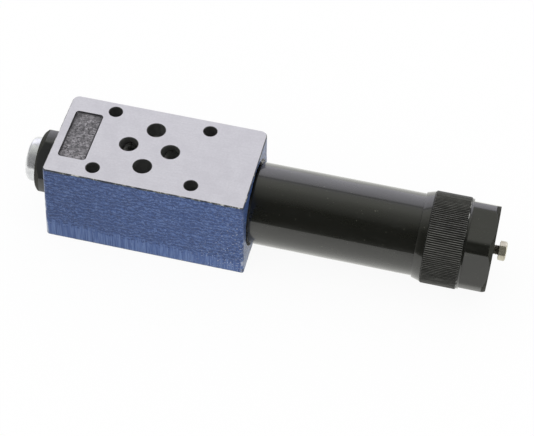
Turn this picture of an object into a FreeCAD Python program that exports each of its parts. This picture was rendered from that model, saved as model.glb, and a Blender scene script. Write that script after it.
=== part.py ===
import FreeCAD, Part
import math
import os

V = FreeCAD.Vector

# Hydraulic sandwich-plate pressure reducing valve, size 03, with a knurled hand adjuster.
# Millimetres. The origin is the centre of the port pattern on the bottom mounting face.
# +X runs along the valve axis to the adjuster, +Y to the back and +Z up.

# Bolt holes and ports of the mounting pattern, measured from its centre
bolt_x = 20.25
bolt_y_right = 15.5
bolt_y_left = 16.25
bolt_hole_d = 5.5
port_d = 7.5
hole_bevel = 0.25
pressure_x = -1.25
pressure_y = 10.4
port_a_x = 7.55
port_b_x = -9.95

# Cast block: the ends lean out by the casting draft, towards the bottom
block_left = -39.7
block_right = 43.5
end_draft = 0.95
block_front = -22.35
block_back = 21.5
block_height = 40.0
front_left_round = 1.6
front_right_round = 1.0
back_round = 3.0
ground_edge = 0.4

# As-cast pocket in the top face
pocket_left = -36.1
pocket_right = -24.3
pocket_front = -13.35
pocket_back = 12.95
pocket_depth = 1.6
pocket_corner = 1.5
pocket_floor_bevel = 0.6

# Valve axis
axis_y = 0.0
axis_z = 20.0

# Ring seals in the bottom face, drawn as squeezed flush by the mating face
seal_recess_d = 12.4
seal_recess_depth = 1.3
port_seal_width = 1.78
port_seal_round = 0.45

# Ring chambers round the spool bore
chamber_r = 7.5
chamber_width = 5.0
inlet_chamber_x = -10.5
outlet_chamber_x = 6.5
tank_chamber_r = 7.0
tank_chamber_width = 4.0
tank_chamber_x = 15.5
drain_d = 1.8
drain_offset = 6.6

# Cored passages
work_passage_d = 7.0
work_passage_y = 12.2
work_passage_half = 7.6
port_depth = 6.5
pressure_port_depth = 13.0
pressure_passage_d = 6.0
pressure_passage_angle = 25.0
tank_passage_d = 4.0
tank_passage_y = 12.0
tank_passage_z = 4.0
passage_overlap = 1.5

# Spool
spool_d = 10.0
spool_waist_d = 6.8
spool_bore_d = 3.0
spool_cross_hole_d = 2.0
opening_stroke = 2.2
tank_overlap = 0.4
spool_stroke = 4.0
end_slot_width = 2.0
end_slot_depth = 1.0
balance_groove_width = 0.6
balance_groove_depth = 0.4
jet_d = 4.0
jet_length = 4.0
jet_hole_d = 0.8
jet_recess = 1.2

# End plug and gauge plug
plug_seat_x = -39.2
plug_spot_d = 32.0
plug_head_length = 8.4
plug_flats = 26.0
plug_head_d = 30.0
plug_bevel = 2.6
plug_thread_d = 22.0
plug_thread_length = 12.2
pilot_chamber_length = 1.5
plug_ring_section = 1.6
plug_oil_hole_d = 4.0
gauge_thread_d = 13.16
gauge_thread_length = 11.5
gauge_thread_clear = 1.0
gauge_head_d = 18.6
gauge_head_length = 5.0
gauge_head_round = 1.6
gauge_socket_flats = 6.0
gauge_socket_depth = 6.0
gauge_seal_d = 16.6
gauge_seal_thickness = 1.5
gauge_seal_proud = 0.2

# Spring housing
housing_seat_x = 42.6
housing_spot_d = 36.4
housing_d = 34.0
housing_length = 78.4
housing_bevel = 1.6
housing_end_bevel = 0.8
housing_thread_d = 24.0
housing_bore_d = 22.0
spigot_bore_d = 18.4
bore_step_x = 46.0
housing_ring_section = 2.0
spring_cavity_x = 22.0
thread_runout = 1.5

# Spring, its plate on the spool and the adjusting piston
plate_lift = 2.5
plate_d = 20.0
plate_thickness = 2.5
plate_clearance = 0.5
plate_boss_length = 3.0
plate_pin_d = 6.0
spring_d = 17.6
spring_wire_d = 3.2
spring_turns = 9.5
boss_d = 10.6
piston_length = 14.0
piston_boss_length = 3.0
piston_groove_x = 7.0
piston_groove_width = 2.6
piston_ring_section = 2.0

# Threaded bush, retaining ring and spindle
bush_length = 12.8
ring_land = 3.0
ring_thickness = 1.2
ring_reach = 1.2
ring_width = 2.8
ring_opening = 7.0
spindle_d = 14.0
spindle_tip_d = 10.0
spindle_tip_length = 1.2
spindle_tail_d = 10.0
spindle_tail_length = 9.0

# Knob: knurled cup and hexagon, with its travel both ways
travel_in = 7.5
travel_out = 3.0
travel_gap = 1.5
stop_gap = 0.2
lip_length = 3.5
lip_d = 35.2
knurl_length = 15.1
knurl_past_floor = 0.6
knurl_d = 38.0
knurl_depth = 0.4
knurl_teeth = 132
knurl_bevel = 0.5
neck_length = 0.8
neck_d = 37.2
hex_length = 10.95
hex_flats = 35.2
hex_corner_d = 38.4
hex_bevel = 1.75
hex_turn = 103.6
skirt_clearance = 0.2
knob_ring_section = 1.8
knob_ring_inset = 2.6

# Jam screw
screw_d = 4.0
screw_neck = 2.2
screw_head_length = 3.1
screw_flats = 7.0
screw_head_bevel = 0.35
screw_turn = 131.0

# Fits, all radial
spool_fit = 0.02
sliding_fit = 0.05
thread_gap = 0.03
seal_gap = 0.02

# The plug's flats face the same way as the front top edge
plug_turn = 131.0

# Sizes and places that follow
spring_cavity_d = plate_d + 2 * plate_clearance
plug_inner_x = plug_seat_x + plug_thread_length
plug_outer_x = plug_seat_x - plug_head_length
spool_bore_x = plug_inner_x + pilot_chamber_length
inlet_edge_x = inlet_chamber_x + chamber_width / 2
tank_edge_x = tank_chamber_x - tank_chamber_width / 2
plate_x = spring_cavity_x + plate_lift
plate_face_x = plate_x + plate_thickness
spigot_end_x = plate_face_x + spool_stroke + sliding_fit
housing_end_x = housing_seat_x + housing_length
ring_x = housing_end_x - ring_land
bush_inner_x = ring_x - bush_length
piston_end_x = bush_inner_x - travel_out - stop_gap
piston_x = piston_end_x - piston_length
knob_floor_x = housing_end_x + travel_in + travel_gap
knurl_end_x = knob_floor_x + knurl_past_floor
knurl_x = knurl_end_x - knurl_length
lip_x = knurl_x - lip_length
hex_x = knurl_end_x + neck_length
knob_end_x = hex_x + hex_length
tail_end_x = knob_floor_x + spindle_tail_length
screw_head_x = knob_end_x + screw_neck


def axis_point(x):
    """The point of the valve axis at x."""
    return V(x, axis_y, axis_z)


def off_axis(x, radius, angle):
    """A point at a radius from the valve axis, the angle counted from +Y towards +Z."""
    turn = math.radians(angle)
    return axis_point(x) + V(0, radius * math.cos(turn), radius * math.sin(turn))


def turned(*corners):
    """A solid of revolution about the valve axis, from the (x, radius) corners of its half section."""
    outline = [axis_point(x) + V(0, 0, radius) for x, radius in corners]
    half_section = Part.Face(Part.makePolygon(outline + outline[:1]))
    return half_section.revolve(axis_point(0), V(1, 0, 0), 360)


def rod(start_x, end_x, diameter):
    """A round rod on the valve axis."""
    return Part.makeCylinder(diameter / 2, end_x - start_x, axis_point(start_x), V(1, 0, 0))


def sided_rod(start_x, end_x, flats, sides, angle):
    """A regular prism on the valve axis whose first flat faces the given angle."""
    corner_r = flats / 2 / math.cos(math.pi / sides)
    step = 360 / sides
    corners = [off_axis(start_x, corner_r, angle + step * (k + 0.5)) for k in range(sides + 1)]
    return Part.Face(Part.makePolygon(corners)).extrude(V(end_x - start_x, 0, 0))


def ring_seal(x, bore_d, section):
    """An O-ring about the valve axis that lies on a bore of the given diameter."""
    section_r = section / 2 - seal_gap
    return Part.makeTorus(bore_d / 2 + section / 2, section_r, axis_point(x), V(1, 0, 0))


def upright(x, y, start_z, end_z, diameter):
    """A round drilling along Z."""
    return Part.makeCylinder(diameter / 2, end_z - start_z, V(x, y, start_z))


def bevelled_hole(x, y, start_z, end_z, diameter):
    """Tools for a drilling from face to face, with a small bevel at both mouths."""
    lower = Part.makeCone(diameter / 2 + hole_bevel, diameter / 2, hole_bevel, V(x, y, start_z))
    upper = Part.makeCone(diameter / 2, diameter / 2 + hole_bevel, hole_bevel, V(x, y, end_z - hole_bevel))
    return [upright(x, y, start_z, end_z, diameter), lower, upper]


def passage(points, diameter):
    """Tools for a passage along straight runs, each going on past an inner corner by its own radius."""
    tools = []
    for start, end in zip(points, points[1:]):
        ahead = (end - start).normalize()
        before = start if start is points[0] else start - ahead * (diameter / 2)
        after = end if end is points[-1] else end + ahead * (diameter / 2)
        tools.append(Part.makeCylinder(diameter / 2, (after - before).Length, before, ahead))
    return tools


def edges_where(shape, test):
    """The edges of a shape whose two ends both pass the test."""
    return [e for e in shape.Edges if len(e.Vertexes) == 2 and all(test(v.Point) for v in e.Vertexes)]


def cast_block():
    """The outer form of the casting, with ground top and bottom faces."""
    side = [
        V(block_left - end_draft, block_front, 0),
        V(block_right + end_draft, block_front, 0),
        V(block_right, block_front, block_height),
        V(block_left, block_front, block_height),
    ]
    block = Part.Face(Part.makePolygon(side + side[:1])).extrude(V(0, block_back - block_front, 0))
    rounds = [
        (block_left, block_front, front_left_round),
        (block_right, block_front, front_right_round),
        (block_left, block_back, back_round),
        (block_right, block_back, back_round),
    ]
    for x, y, radius in rounds:
        corner = edges_where(block, lambda p: abs(p.y - y) < ground_edge and p.x * x > 0)
        upright_edges = [e for e in corner if e.Vertexes[0].Z != e.Vertexes[1].Z]
        block = block.makeFillet(radius, upright_edges)
    rims = edges_where(block, lambda p: abs(p.z) < 1e-6)
    rims += edges_where(block, lambda p: abs(p.z - block_height) < 1e-6)
    return block.makeChamfer(ground_edge, rims)


def pocket():
    """The as-cast pocket's space, with rounded corners and a bevelled floor edge."""
    floor_z = block_height - pocket_depth
    corner = V(pocket_left, pocket_front, floor_z)
    space = Part.makeBox(pocket_right - pocket_left, pocket_back - pocket_front, 2 * pocket_depth, corner)
    space = space.makeFillet(pocket_corner, [e for e in space.Edges if e.Vertexes[0].Z != e.Vertexes[1].Z])
    floor_edges = edges_where(space, lambda p: abs(p.z - floor_z) < 1e-6)
    return space.makeChamfer(pocket_floor_bevel, floor_edges)


def interface_holes():
    """Bolt holes, port mouths and seal recesses of the mounting pattern."""
    tools = []
    for side in (-1, 1):
        tools += bevelled_hole(bolt_x, side * bolt_y_right, 0, block_height, bolt_hole_d)
        tools += bevelled_hole(-bolt_x, side * bolt_y_left, 0, block_height, bolt_hole_d)
    tools += bevelled_hole(pressure_x, pressure_y, 0, block_height, port_d)
    mouths = [
        (port_a_x, 0, port_depth),
        (port_b_x, 0, port_depth),
        (pressure_x, -pressure_y, pressure_port_depth),
    ]
    for x, y, depth in mouths:
        tools += bevelled_hole(x, y, 0, depth, port_d)[:1]
        tools += bevelled_hole(x, y, block_height - depth, block_height, port_d)[::2]
    for x, y in port_places().values():
        tools.append(upright(x, y, 0, seal_recess_depth, seal_recess_d))
    return tools


def port_places():
    """Port letters and their places on the mounting faces."""
    return {
        "p": (pressure_x, -pressure_y),
        "t": (pressure_x, pressure_y),
        "a": (port_a_x, 0),
        "b": (port_b_x, 0),
    }


def work_passage(x):
    """The passage of port A or B, which goes round the back of the spool bore."""
    path = [
        V(x, 0, block_height - port_depth + passage_overlap),
        V(x, work_passage_y, axis_z + work_passage_half),
        V(x, work_passage_y, axis_z - work_passage_half),
        V(x, 0, port_depth - passage_overlap),
    ]
    return passage(path, work_passage_d)


def pressure_passage(x, mouth_z, angle):
    """The slanted passage from a P port to its ring chamber."""
    mouth = V(pressure_x, -pressure_y, mouth_z)
    return passage([mouth, off_axis(x, chamber_r + passage_overlap, angle)], pressure_passage_d)


def tank_passage():
    """The passage from port T, under the work passages, to the tank chamber."""
    corner = V(tank_chamber_x, tank_passage_y, tank_passage_z)
    rise = axis_point(tank_chamber_x) - corner
    end = axis_point(tank_chamber_x) - rise.normalize() * (tank_chamber_r + passage_overlap)
    path = [V(pressure_x, tank_passage_y, tank_passage_z), corner, end]
    return passage(path, tank_passage_d)


def spool_bore_tools():
    """The bore along the valve axis with its chambers, threads, seal grooves and spot faces."""
    far = block_right - block_left
    plug_recess_d = plug_thread_d + 2 * plug_ring_section
    housing_recess_d = housing_thread_d + 2 * housing_ring_section
    plug_recess_x = plug_seat_x + 1.5 * plug_ring_section
    housing_recess_x = housing_seat_x - 1.2 * housing_ring_section
    inlet_start = inlet_chamber_x - chamber_width / 2
    outlet_start = outlet_chamber_x - chamber_width / 2
    drain_mouth = axis_point(tank_chamber_x) - V(0, 0, drain_offset)
    return [
        rod(plug_inner_x, spring_cavity_x, spool_d + 2 * spool_fit),
        rod(plug_seat_x, spool_bore_x, plug_thread_d + 2 * thread_gap),
        rod(plug_seat_x, plug_recess_x, plug_recess_d),
        rod(plug_seat_x - far, plug_seat_x, plug_spot_d),
        rod(inlet_start, inlet_start + chamber_width, 2 * chamber_r),
        rod(outlet_start, outlet_start + chamber_width, 2 * chamber_r),
        rod(tank_edge_x, tank_edge_x + tank_chamber_width, 2 * tank_chamber_r),
        Part.makeCylinder(drain_d / 2, spring_cavity_x - tank_chamber_x, drain_mouth, V(1, 0, 0)),
        rod(spring_cavity_x, housing_seat_x, spring_cavity_d),
        rod(spigot_end_x - thread_runout, housing_seat_x, housing_thread_d + 2 * thread_gap),
        rod(housing_recess_x, housing_seat_x, housing_recess_d),
        rod(housing_seat_x, housing_seat_x + far, housing_spot_d),
    ]


def valve_body():
    """The cast block with every pocket, port, passage and bore cut out of it."""
    lower = 180 + pressure_passage_angle
    upper = 180 - pressure_passage_angle
    tools = [pocket()] + work_passage(port_a_x) + work_passage(port_b_x) + tank_passage()
    tools += pressure_passage(inlet_chamber_x, pressure_port_depth - passage_overlap, lower)
    tools += pressure_passage(outlet_chamber_x, block_height - pressure_port_depth + passage_overlap, upper)
    tools += interface_holes() + spool_bore_tools()
    return cast_block().cut(tools).removeSplitter()


def port_seal(place):
    """A port's O-ring, squeezed flush into its recess."""
    x, y = place
    outer_r = seal_recess_d / 2 - seal_gap
    height = seal_recess_depth - seal_gap
    ring = upright(x, y, 0, height, 2 * outer_r).cut(upright(x, y, 0, height, 2 * (outer_r - port_seal_width)))
    return ring.makeFillet(port_seal_round, [e for e in ring.Edges if len(e.Vertexes) == 1])


def control_spool():
    """The spool: two lands, the waist that meters the oil, a bore to the pilot end and a plate pin."""
    land_r = spool_d / 2
    waist_start = inlet_edge_x - opening_stroke
    waist_end = tank_edge_x - opening_stroke - tank_overlap
    spool = turned(
        (plug_inner_x, 0),
        (plug_inner_x, land_r - ground_edge),
        (plug_inner_x + ground_edge, land_r),
        (waist_start, land_r),
        (waist_start, spool_waist_d / 2),
        (waist_end, spool_waist_d / 2),
        (waist_end, land_r),
        (plate_x, land_r),
        (plate_x, plate_pin_d / 2),
        (plate_face_x, plate_pin_d / 2),
        (plate_face_x, 0),
    )
    jet_end_x = plug_inner_x + jet_recess + jet_length
    slot = Part.makeBox(end_slot_depth, spool_d, end_slot_width)
    slot.translate(axis_point(plug_inner_x) - V(0, spool_d / 2, end_slot_width / 2))
    cross_hole = Part.makeCylinder(spool_cross_hole_d / 2, spool_d, off_axis(0, land_r, -90), V(0, 0, 1))
    tools = [
        rod(plug_inner_x, spool_cross_hole_d / 2, spool_bore_d),
        rod(plug_inner_x, jet_end_x, jet_d + 2 * thread_gap),
        cross_hole,
        slot,
    ]
    land_length = waist_start - spool_bore_x
    for step in (1, 2, 3):
        groove_x = spool_bore_x + land_length * step / 4
        groove_end_x = groove_x + balance_groove_width
        tools.append(rod(groove_x, groove_end_x, spool_d + 1).cut(
            rod(groove_x, groove_end_x, spool_d - 2 * balance_groove_depth)))
    return spool.cut(tools)


def spool_jet():
    """The damping jet screwed into the spool's pilot end."""
    start = plug_inner_x + jet_recess
    return rod(start, start + jet_length, jet_d).cut(rod(start, start + jet_length, jet_hole_d))


def spring_plate():
    """The spring's seat on the spool, whose flange is the stroke stop."""
    boss_end = plate_face_x + plate_boss_length
    hole_r = plate_pin_d / 2 + thread_gap
    return turned(
        (plate_x, hole_r),
        (plate_x, plate_d / 2 - ground_edge),
        (plate_x + ground_edge, plate_d / 2),
        (plate_face_x, plate_d / 2),
        (plate_face_x, boss_d / 2),
        (boss_end - ground_edge, boss_d / 2),
        (boss_end, boss_d / 2 - ground_edge),
        (boss_end, hole_r),
    )


def control_spring():
    """The control spring, a helix whose two ends are ground flat on its seats."""
    length = piston_x - plate_face_x
    coil_r = (spring_d - spring_wire_d) / 2
    helix = Part.makeHelix(length / spring_turns, length, coil_r)
    wire = Part.makeCircle(spring_wire_d / 2, V(coil_r, 0, 0), V(0, 1, 0))
    coil = Part.Wire(helix.Edges).makePipeShell([Part.Wire(wire)], True, True)
    coil = coil.common(Part.makeCylinder(spring_d, length))
    coil.rotate(V(0, 0, 0), V(0, 1, 0), 90)
    coil.translate(axis_point(plate_face_x))
    return coil


def adjusting_piston():
    """The sealed piston that carries the spring's outer end."""
    piston_r = housing_bore_d / 2 - sliding_fit
    groove_r = housing_bore_d / 2 - piston_ring_section
    groove_x = piston_x + piston_groove_x
    return turned(
        (piston_x - piston_boss_length, 0),
        (piston_x - piston_boss_length, boss_d / 2 - ground_edge),
        (piston_x - piston_boss_length + ground_edge, boss_d / 2),
        (piston_x, boss_d / 2),
        (piston_x, piston_r - ground_edge),
        (piston_x + ground_edge, piston_r),
        (groove_x, piston_r),
        (groove_x, groove_r),
        (groove_x + piston_groove_width, groove_r),
        (groove_x + piston_groove_width, piston_r),
        (piston_end_x - ground_edge, piston_r),
        (piston_end_x, piston_r - ground_edge),
        (piston_end_x, 0),
    )


def piston_seal():
    """The piston's O-ring."""
    middle_x = piston_x + piston_groove_x + piston_groove_width / 2
    return ring_seal(middle_x, housing_bore_d - 2 * piston_ring_section, piston_ring_section)


def thread_bush():
    """The nut in the housing's end that the spindle turns in."""
    bush = rod(bush_inner_x, ring_x, housing_bore_d - 2 * thread_gap)
    hole_d = spindle_d + 2 * sliding_fit
    mouth = turned(
        (ring_x - spindle_tip_length, 0),
        (ring_x - spindle_tip_length, hole_d / 2),
        (ring_x, hole_d / 2 + spindle_tip_length),
        (ring_x, 0),
    )
    return bush.cut([rod(bush_inner_x, ring_x, hole_d), mouth])


def bush_retaining_ring():
    """The open spring ring that holds the bush against the spring's force."""
    outer_d = housing_bore_d + 2 * (ring_reach - thread_gap)
    end_x = ring_x + ring_thickness
    ring = rod(ring_x, end_x, outer_d).cut(rod(ring_x, end_x, outer_d - 2 * ring_width))
    opening = Part.makeBox(2 * ring_thickness, ring_opening, outer_d)
    opening.translate(axis_point(ring_x) - V(ring_thickness / 2, ring_opening / 2, 0))
    return ring.cut(opening)


def spring_housing():
    """The long tube: threaded spigot, bevelled shoulder, piston bore and two end grooves."""
    outer_r = housing_d / 2
    bore_r = housing_bore_d / 2
    ring_groove_end = ring_x + ring_thickness + 2 * sliding_fit
    seal_x = knob_ring_x() - 0.6 * knob_ring_section
    seal_end_x = knob_ring_x() + 0.6 * knob_ring_section
    seal_groove_r = outer_r + skirt_clearance - knob_ring_section
    return turned(
        (spigot_end_x, spigot_bore_d / 2),
        (spigot_end_x, housing_thread_d / 2 - ground_edge),
        (spigot_end_x + ground_edge, housing_thread_d / 2),
        (housing_seat_x, housing_thread_d / 2),
        (housing_seat_x, outer_r - housing_bevel),
        (housing_seat_x + housing_bevel, outer_r),
        (seal_x, outer_r),
        (seal_x, seal_groove_r),
        (seal_end_x, seal_groove_r),
        (seal_end_x, outer_r),
        (housing_end_x - housing_end_bevel, outer_r),
        (housing_end_x, outer_r - housing_end_bevel),
        (housing_end_x, bore_r),
        (ring_groove_end, bore_r),
        (ring_groove_end, bore_r + ring_reach),
        (ring_x, bore_r + ring_reach),
        (ring_x, bore_r),
        (bore_step_x, bore_r),
        (bore_step_x, spigot_bore_d / 2),
    )


def knob_ring_x():
    """The place of the ring seal between the housing and the knob's skirt."""
    return housing_end_x - knob_ring_inset


def knob_seal_ring():
    """The ring in the housing's end that keeps dirt out and the knob stiff to turn."""
    bore_d = housing_d + 2 * skirt_clearance - 2 * knob_ring_section
    return ring_seal(knob_ring_x(), bore_d, knob_ring_section)


def housing_seal():
    """The O-ring under the housing's shoulder."""
    return ring_seal(housing_seat_x - 0.6 * housing_ring_section, housing_thread_d, housing_ring_section)


def adjusting_spindle():
    """The threaded spindle, whose tip pushes the piston and whose tail carries the knob."""
    return turned(
        (piston_end_x, 0),
        (piston_end_x, spindle_tip_d / 2),
        (piston_end_x + spindle_tip_length, spindle_d / 2),
        (knob_floor_x, spindle_d / 2),
        (knob_floor_x, spindle_tail_d / 2),
        (tail_end_x, spindle_tail_d / 2),
        (tail_end_x, 0),
    )


def knurled_band():
    """The straight knurl: a toothed prism, bevelled at both ends."""
    tip_r = knurl_d / 2
    root_r = tip_r - knurl_depth
    half_pitch = 180 / knurl_teeth
    corners = []
    for tooth in range(knurl_teeth):
        corners.append(off_axis(knurl_x, tip_r, 2 * tooth * half_pitch))
        corners.append(off_axis(knurl_x, root_r, (2 * tooth + 1) * half_pitch))
    band = Part.Face(Part.makePolygon(corners + corners[:1])).extrude(V(knurl_length, 0, 0))
    envelope = turned(
        (knurl_x, 0),
        (knurl_x, tip_r - knurl_bevel),
        (knurl_x + knurl_bevel, tip_r),
        (knurl_end_x - knurl_bevel, tip_r),
        (knurl_end_x, tip_r - knurl_bevel),
        (knurl_end_x, 0),
    )
    return band.common(envelope)


def adjusting_knob():
    """The cup over the housing's end: conical lip, knurled band, neck and hexagon in one piece."""
    root_r = knurl_d / 2 - knurl_depth
    lip = turned((lip_x, 0), (lip_x, lip_d / 2), (knurl_x, root_r), (knurl_x, 0))
    neck = turned((knurl_end_x, 0), (knurl_end_x, root_r), (hex_x, neck_d / 2), (hex_x, 0))
    envelope = turned(
        (hex_x, 0),
        (hex_x, hex_corner_d / 2),
        (knob_end_x - hex_bevel, hex_corner_d / 2),
        (knob_end_x, hex_corner_d / 2 - hex_bevel),
        (knob_end_x, 0),
    )
    hexagon = sided_rod(hex_x, knob_end_x, hex_flats, 6, hex_turn).common(envelope)
    knob = knurled_band().fuse([lip, neck, hexagon])
    inside = [
        rod(lip_x, knob_floor_x, housing_d + 2 * skirt_clearance),
        rod(knob_floor_x, tail_end_x, spindle_tail_d + 2 * thread_gap),
        rod(tail_end_x, knob_end_x, screw_d + 2 * thread_gap),
    ]
    return knob.cut(inside).removeSplitter()


def bevelled_hexagon(start_x, end_x, flats, bevel, angle):
    """A hexagonal screw head whose outer corners are turned off."""
    corner_r = flats / math.sqrt(3)
    envelope = turned(
        (start_x, 0),
        (start_x, corner_r),
        (end_x - bevel, corner_r),
        (end_x, corner_r - 2 * bevel),
        (end_x, 0),
    )
    return sided_rod(start_x, end_x, flats, 6, angle).common(envelope)


def jam_screw():
    """The small hex-head screw that locks the knob on the spindle's tail."""
    head_end_x = screw_head_x + screw_head_length
    head = bevelled_hexagon(screw_head_x, head_end_x, screw_flats, screw_head_bevel, screw_turn)
    return rod(tail_end_x, screw_head_x, screw_d).fuse(head)


def end_plug():
    """The left plug: a round head with four wrench flats, a thread and the gauge port."""
    head_r = plug_head_d / 2
    envelope = turned(
        (plug_outer_x, 0),
        (plug_outer_x, head_r - plug_bevel),
        (plug_outer_x + plug_bevel, head_r),
        (plug_seat_x, head_r),
        (plug_seat_x, 0),
    )
    head = sided_rod(plug_outer_x, plug_seat_x, plug_flats, 4, plug_turn).common(envelope)
    thread = rod(plug_seat_x, plug_inner_x, plug_thread_d)
    gauge_bore_end = plug_outer_x + gauge_thread_length + gauge_thread_clear
    tools = [
        rod(plug_outer_x, gauge_bore_end, gauge_thread_d + 2 * thread_gap),
        rod(gauge_bore_end, plug_inner_x, plug_oil_hole_d),
    ]
    return head.fuse(thread).cut(tools)


def end_plug_seal():
    """The O-ring under the end plug's head."""
    return ring_seal(plug_seat_x + 0.75 * plug_ring_section, plug_thread_d, plug_ring_section)


def gauge_plug():
    """The plug in the gauge port, with a rounded head, a hexagon socket and a seal groove."""
    head_x = plug_outer_x - gauge_seal_proud
    top_x = head_x - gauge_head_length
    head_r = gauge_head_d / 2
    rim_step = 0.3 * gauge_head_round
    head = turned(
        (top_x, 0),
        (top_x, head_r - gauge_head_round),
        (top_x + rim_step, head_r - rim_step),
        (top_x + gauge_head_round, head_r),
        (head_x, head_r),
        (head_x, 0),
    )
    plug = head.fuse(rod(head_x, plug_outer_x + gauge_thread_length, gauge_thread_d))
    groove_x = plug_outer_x - gauge_seal_thickness
    groove = rod(groove_x, head_x, gauge_seal_d).cut(rod(groove_x, head_x, gauge_thread_d))
    socket = sided_rod(top_x, top_x + gauge_socket_depth, gauge_socket_flats, 6, plug_turn)
    return plug.cut([groove, socket])


def gauge_plug_seal():
    """The flat seal ring in the gauge plug's groove."""
    groove_x = plug_outer_x - gauge_seal_thickness
    ring = rod(groove_x, plug_outer_x, gauge_seal_d - 2 * seal_gap)
    return ring.cut(rod(groove_x, plug_outer_x, gauge_thread_d + 2 * seal_gap))


def nodes():
    """Every piece of the valve by its node's name."""
    pieces = {
        "valve_body": valve_body(),
        "end_plug": end_plug(),
        "end_plug_seal": end_plug_seal(),
        "gauge_plug": gauge_plug(),
        "gauge_plug_seal": gauge_plug_seal(),
        "control_spool": control_spool(),
        "spool_jet": spool_jet(),
        "spring_plate": spring_plate(),
        "control_spring": control_spring(),
        "adjusting_piston": adjusting_piston(),
        "piston_seal": piston_seal(),
        "spring_housing": spring_housing(),
        "housing_seal": housing_seal(),
        "thread_bush": thread_bush(),
        "bush_retaining_ring": bush_retaining_ring(),
        "knob_seal_ring": knob_seal_ring(),
        "adjusting_spindle": adjusting_spindle(),
        "adjusting_knob": adjusting_knob(),
        "jam_screw": jam_screw(),
    }
    for letter, place in port_places().items():
        pieces["port_seal_" + letter] = port_seal(place)
    return pieces


os.makedirs("parts", exist_ok=True)
for name, shape in nodes().items():
    solid = shape.Solids[0] if len(shape.Solids) == 1 else shape
    solid.exportStep("parts/" + name + ".step")
    print(name, "solids", len(shape.Solids), "valid", shape.isValid(), "volume", round(shape.Volume, 1))
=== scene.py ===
import math

import bmesh
import bpy
import numpy as np
from mathutils import Matrix, Vector


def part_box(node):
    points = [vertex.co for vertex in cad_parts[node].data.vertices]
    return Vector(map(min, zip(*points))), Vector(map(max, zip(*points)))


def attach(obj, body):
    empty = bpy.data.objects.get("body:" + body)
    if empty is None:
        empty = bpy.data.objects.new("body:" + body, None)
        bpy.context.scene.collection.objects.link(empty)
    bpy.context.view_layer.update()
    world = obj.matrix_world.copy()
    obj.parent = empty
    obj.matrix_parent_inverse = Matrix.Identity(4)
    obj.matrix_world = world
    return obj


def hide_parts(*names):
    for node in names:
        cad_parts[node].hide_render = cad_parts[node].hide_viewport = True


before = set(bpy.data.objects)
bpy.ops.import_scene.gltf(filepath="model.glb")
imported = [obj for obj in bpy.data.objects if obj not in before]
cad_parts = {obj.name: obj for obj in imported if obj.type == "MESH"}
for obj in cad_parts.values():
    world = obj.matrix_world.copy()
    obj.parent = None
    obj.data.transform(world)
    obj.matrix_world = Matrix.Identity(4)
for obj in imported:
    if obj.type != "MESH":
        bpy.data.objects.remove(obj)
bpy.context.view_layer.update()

MM = 0.001

# Places read from the frame, in millimetres
block_low, block_high = (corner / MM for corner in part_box("valve_body"))
tube_low, tube_high = (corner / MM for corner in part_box("spring_housing"))
knob_low, knob_high = (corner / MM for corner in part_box("adjusting_knob"))
plug_low, plug_high = (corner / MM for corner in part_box("end_plug"))
gauge_low, gauge_high = (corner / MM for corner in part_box("gauge_plug"))
screw_low, screw_high = (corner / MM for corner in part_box("jam_screw"))
spindle_end_x = (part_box("adjusting_spindle")[1] / MM).x
axis_z = (tube_low.z + tube_high.z) / 2
tube_r = (tube_high.z - tube_low.z) / 2
knurl_r = (knob_high.z - knob_low.z) / 2
gauge_head_r = (gauge_high.z - gauge_low.z) / 2

# Sizes in millimetres and turns in degrees that the boxes don't give
SOFT_EDGE = 0.16
SHARP_ANGLE = 38
POLE_R = 0.02
THREAD_GAP = 0.03

# Block
TOUCHING = 1e-3
GROUND_EDGE = 0.4
END_DRAFT = 0.95
CORNER_ZONE = 3.2
PORT_P = (-1.25, -10.4)
POCKET_X = (-36.1, -24.3)
POCKET_Y = (-13.35, 12.95)
POCKET_REACH = 2
POCKET_WALL = 0.9
POCKET_RAISED = 0.6
CAST_STEP = 0.75
POCKET_STEP = 0.5

# Unevenness of the cast faces, as features per millimetre and height in millimetres
CAST_WAVES = ((0.16, 0.06), (0.55, 0.045))
POCKET_WAVES = ((0.5, 0.10), (1.1, 0.08))

# End plug and gauge plug
PLUG_SEAT_X = -39.2
PLUG_HEAD_R = 15.0
PLUG_FLATS = 26.0
PLUG_TURN = 131.0
PLUG_BEVEL = 2.6
PLUG_THREAD_R = 11.0
OIL_HOLE_R = 2.0
GAUGE_CLEAR = 1.0
GAUGE_THREAD_R = 6.58
GAUGE_HEAD = 5.0
GAUGE_ROUND = 1.6
GAUGE_SOCKET = 6.0
GAUGE_SOCKET_BEVEL = (0.3, 0.25)
GAUGE_SEAL_R = 8.3
GAUGE_SEAL_WIDTH = 1.5
GAUGE_SEAL_PROUD = 0.2

# Spring housing
HOUSING_SEAT_X = 42.6
HOUSING_BEVEL = 1.6
HOUSING_END_BEVEL = 0.8
HOUSING_BORE_R = 11.0
SPIGOT_R = 12.0
SPIGOT_BORE_R = 9.2
BORE_STEP_X = 46.0

# Knob
LIP_LENGTH = 3.5
LIP_R = 17.6
KNURL_LENGTH = 15.1
KNURL_PAST_FLOOR = 0.6
KNURL_DEPTH = 0.4
KNURL_TEETH = 132
KNURL_BEVEL = 0.5
NECK_LENGTH = 0.8
HEX_FLATS = 35.2
HEX_CORNER_R = 19.2
HEX_BEVEL = 1.75
HEX_TURN = 103.6
SKIRT_GAP = 0.2
TAIL_R = 5.03
SCREW_BORE_R = 2.03

# Jam screw
SCREW_R = 2.0
SCREW_PITCH = 0.7
SCREW_DEPTH = 0.22
SCREW_HEAD = 3.1
SCREW_FLATS = 7.0
SCREW_BEVEL = 0.45
WASHER_FACE = 0.15

# Places along the axis that follow
knurl_x = knob_low.x + LIP_LENGTH
knurl_end_x = knurl_x + KNURL_LENGTH
knob_floor_x = knurl_end_x - KNURL_PAST_FLOOR
hex_x = knurl_end_x + NECK_LENGTH
screw_head_x = screw_high.x - SCREW_HEAD


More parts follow.
